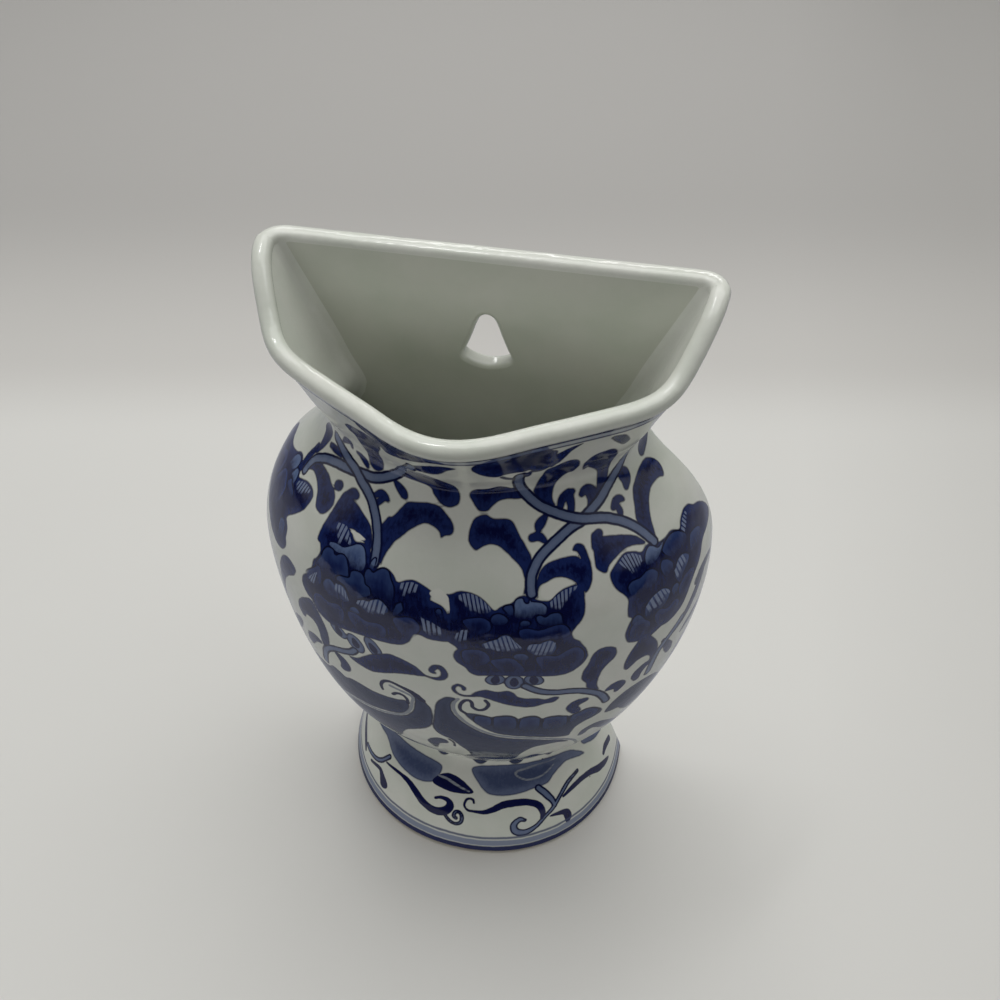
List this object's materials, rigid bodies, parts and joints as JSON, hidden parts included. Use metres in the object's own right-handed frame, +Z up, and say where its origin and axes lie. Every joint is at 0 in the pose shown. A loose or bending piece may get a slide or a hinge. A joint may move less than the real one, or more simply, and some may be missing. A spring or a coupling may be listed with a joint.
{
  "type": "hanging wall vase",
  "caption": "Porcelain wall pocket vase: half baluster body with a flat back, brace-shaped flared mouth, hanging hole and flared foot, painted with blue peony scrolls.",
  "frame": {"origin": "on the ground, under the middle of the vase's box; the flat back lies 27.5 mm behind it", "axes": "+Z up, -Y the bowed front, +Y the flat back that hangs against the wall, +X to the right seen from the front"},
  "size_m": [0.1276, 0.055, 0.2],
  "materials": {
    "white_glaze": "clear glossy glaze over white porcelain",
    "painted_glaze": "cobalt blue brushwork under a clear glossy glaze",
    "bare_clay": "unglazed fired porcelain, matt"
  },
  "bodies": {
    "root": {"mouth_rim": "white_glaze", "neck_collar": "painted_glaze", "body_shell": "painted_glaze", "back_plate": "white_glaze", "body_floor": "white_glaze", "foot_skirt": "painted_glaze", "foot_ring": "bare_clay"}
  },
  "joints": []
}
